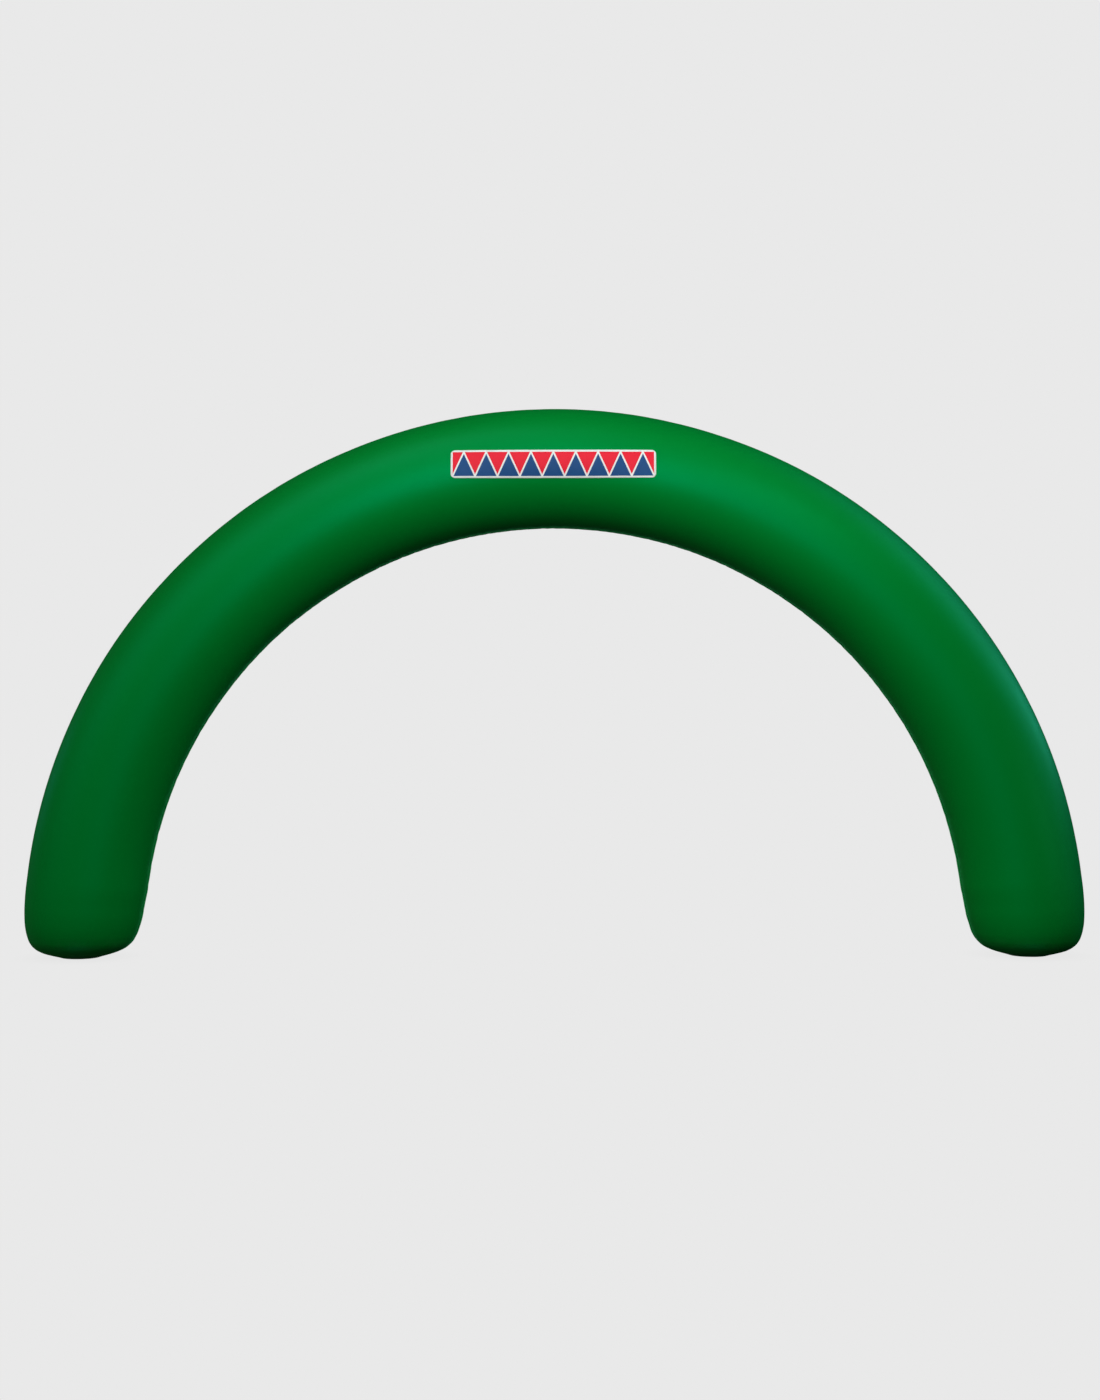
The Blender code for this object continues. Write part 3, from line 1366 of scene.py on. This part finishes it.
SOFTBOXES = (
    Softbox("key_far", (0.0, -7.0, 3.1), (0.0, 0.0, 2.7), 1.2, 118.0, (1.0, 1.0, 0.97)),
    Softbox("key_left", (-1.2, -4.5, 4.1), (0.0, 0.0, 2.7), 1.2, 34.7, (1.0, 1.0, 0.84)),
    Softbox("key_right", (1.2, -4.5, 4.1), (0.0, 0.0, 2.7), 1.2, 18.4, (1.0, 1.0, 0.89)),
    Softbox("key_near", (0.0, -3.0, 4.1), (0.0, 0.0, 2.7), 1.2, 15.8, (1.0, 1.0, 0.89)),
    Softbox("right_near", (2.0, -2.2, 3.9), (1.3, 0.0, 3.0), 1.0, 10.6, (1.0, 1.0, 0.77)),
    Softbox("right_low", (5.0, -2.0, 1.1), (3.25, 0.0, 0.8), 1.0, 4.6, (1.0, 1.0, 0.69)),
    Softbox("right_back", (8.0, 3.0, 3.1), (2.4, 0.0, 1.5), 1.5, 31.1, (0.1, 1.0, 0.82)),
    Softbox("left_back", (-8.0, 3.0, 2.1), (-2.4, 0.0, 1.5), 1.5, 5.1, (0.1, 1.0, 1.07)),
    Softbox("left_floor", (-2.73, -0.42, -0.5), (-2.73, -0.2, 0.0), 0.4, 0.12, (0.1, 1.0, 0.8)),
    Softbox("right_floor", (2.73, -0.42, -0.5), (2.73, -0.2, 0.0), 0.4, 0.12, (0.1, 1.0, 0.8)),
)
FAR_LAMPS = (
    FarLamp("left_high", -30, 60, 0.655, (0.7, 1.0, 1.05)),
    FarLamp("left_mid", -30, 30, 0.253, (0.4, 1.0, 0.68)),
    FarLamp("left_wide", -60, 30, 0.209, (0.3, 1.0, 1.05)),
    FarLamp("right_side", 90, 30, 0.554, (0.15, 1.0, 0.87)),
    FarLamp("right_behind", 120, 35, 0.207, (0.1, 1.0, 1.11)),
    FarLamp("behind", 180, 0, 0.28, (0.1, 1.0, 0.33)),
)


@dataclass
class Studio:
    """The pale floor, the soft lights and the camera.

    Attributes:
        grey: the linear grey of the floor and of what is behind it.
        glow_from: the middle of the broad soft glow that comes from behind on the left.
        glow: the colour of that glow.
        contact_shade: how much darker the floor is right under a foot.
        contact_reach: how far from a foot that shade fades out.
        floor_half: half the side of the floor.
        floor_drop: how far the floor lies under the feet.
        lens: the camera's lens, in millimetres.
        sensor: its sensor, as long as the picture's long side, in millimetres.
        eye: where the camera stands.
        roll: how far the camera leans to its right.
    """

    grey: float = 0.8148
    glow_from: Triple = (-0.7071, 0.7071, 0.0)
    glow: Triple = (0.03, 0.139, 0.0325)
    # contact_shade: how much darker the floor is painted right under a foot, as a painted shadow.
    contact_shade: float = 0.05
    contact_reach: float = 0.42
    floor_half: float = 60.0
    floor_drop: float = 0.0005
    lens: float = 52.68
    sensor: float = 36.0
    eye: Triple = (-0.0221, -11.807, 1.4739)
    roll: float = 0.0024

    def grey_colour(self, shade: float = 0.0) -> Colour:
        """Return the studio's grey, darker by this share."""
        grey = self.grey * (1 - shade)
        return (grey, grey, grey, 1.0)

    def light_world(self) -> None:
        """Show a plain grey to the camera, and the soft glow to all else."""
        world = bpy.data.worlds.new("studio")
        world.use_nodes = True
        bpy.context.scene.world = world
        nodes = Nodes(world.node_tree)
        world.node_tree.nodes.clear()
        way = nodes.add("TexCoord").outputs["Generated"]
        ways = {0: way, 1: self.glow_from}
        facing = nodes.make("VectorMath", ways, operation="DOT_PRODUCT")["Value"]
        share = nodes.math("POWER", nodes.math("MAXIMUM", facing, 0.0), 2.0)
        lit = nodes.make("Background", {"Color": nodes.scaled(self.glow, share)})[0]
        seen = nodes.make("Background", {"Color": self.grey_colour()})[0]
        by_camera = nodes.add("LightPath").outputs["Is Camera Ray"]
        shown = nodes.make("MixShader", {0: by_camera, 1: lit, 2: seen})[0]
        nodes.make("OutputWorld", {"Surface": shown})

    def floor_material(self) -> Material:
        """Build the floor's finish: the studio's grey, with a painted contact shadow round each
        foot.

        Returns:
            The new material.
        """
        material, nodes, shader = new_material("studio_floor", self.grey_colour())
        foot_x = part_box("base_right")[0].x + BASE_SEAM.half_width
        place = nodes.split(nodes.add("TexCoord").outputs["Object"])
        from_foot = nodes.math("SUBTRACT", nodes.math("ABSOLUTE", place["X"]), foot_x)
        squares = [nodes.math("MULTIPLY", way, way) for way in (from_foot, place["Y"])]
        far = nodes.math("SQRT", nodes.math("ADD", *squares))
        # Painted contact shadow: darker near each foot, fading out by contact_reach
        clear = nodes.ramp(far, FLAT_RADIUS / 2, self.contact_reach)
        floor = nodes.mix(clear, self.grey_colour(self.contact_shade), self.grey_colour())
        nodes.fill(shader, {
            "Base Color": (0.0, 0.0, 0.0, 1.0),
            "Specular IOR Level": 0.0,
            "Emission Color": floor,
            "Emission Strength": 1.0,
        })
        return material

    def lay_floor(self) -> None:
        """Lay the pale floor, which throws no light or shadow on the arch."""
        bm = bmesh.new()
        bmesh.ops.create_grid(bm, x_segments=1, y_segments=1, size=self.floor_half)
        bmesh.ops.translate(bm, vec=(0, 0, -self.floor_drop), verts=bm.verts)
        floor = new_object("studio_floor", bm, self.floor_material())
        floor.visible_diffuse = floor.visible_glossy = floor.visible_shadow = False

    def place_camera(self) -> None:
        """Stand the camera in front of the arch, looking level at it."""
        data = bpy.data.cameras.new("camera")
        data.lens = self.lens
        data.sensor_width = self.sensor
        camera = bpy.data.objects.new("camera", data)
        camera.location = self.eye
        camera.rotation_euler = (math.pi / 2, self.roll, 0)
        bpy.context.scene.collection.objects.link(camera)
        bpy.context.scene.camera = camera

    def build(self) -> None:
        """Set up the whole studio."""
        bpy.context.scene.view_settings.view_transform = "Standard"
        self.light_world()
        for lamp in (*SOFTBOXES, *FAR_LAMPS):
            lamp.hang()
        self.lay_floor()
        self.place_camera()


TUBE_CLOTH = ClothFinish(
    name="coated_green_cloth",
    colour=(0.0, 0.207, 0.0226, 1.0),
    roughness=0.46,
    specular=0.46,
    tint=(0.0, 1.0, 0.60, 1.0),
    sheen=0.03,
    sheen_tint=(0.0, 1.0, 0.8, 1.0),
    dust=0.10,
)
BASE_CLOTH = ClothFinish(
    name="heavy_base_cloth",
    # Darker green than the tube's cloth: painted shade for the dark band where the feet turn under
    colour=(0.002, 0.110, 0.026, 1.0),
    roughness=0.60,
    pitch=0.0016,
    relief=0.00018,
    dust=0.35,
)
BANNER_CLOTH = ZigzagPrint(
    name="printed_cloth",
    colour=(0.92, 0.84, 0.91, 1.0),
    roughness=0.55,
    specular=0.15,
    pitch=0.0007,
)
GREEN_THREAD = ThreadFinish("green_thread", (0.004, 0.16, 0.035, 1.0))
WHITE_THREAD = ThreadFinish("white_thread", (0.62, 0.62, 0.60, 1.0))


def tube_form() -> TubeForm:
    """Read the tube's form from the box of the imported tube.

    Returns:
        The form.
    """
    low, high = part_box("envelope")
    tube_radius = (high.y - low.y) / 2
    return TubeForm(high.z - ARC_CENTRE_HEIGHT - tube_radius, tube_radius)


def main() -> None:
    """Build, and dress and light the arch."""
    logging.basicConfig(level=logging.INFO, format="%(name)s: %(message)s")
    form = tube_form()
    weave, wear_and_crease_shade = plain_weave_group(), wear_and_crease_shade_group()
    AirTube(form, TUBE_CLOTH.build(weave, wear_and_crease_shade)).build()
    base_cloth = BASE_CLOTH.build(weave, wear_and_crease_shade)
    for side in Side:
        BasePanel(form, base_cloth, side).build()
    banner = Banner(form, BANNER_CLOTH.build(weave, wear_and_crease_shade))
    banner.build()
    green_stitching = Stitching(form, GREEN_THREAD.build())
    for line in SeamLine:
        green_stitching.sew_long_seam(line)
    for side in Side:
        green_stitching.sew_base_seam(side)
    Stitching(form, WHITE_THREAD.build()).sew_banner(banner)
    Studio().build()


if __name__ == "__main__":
    main()
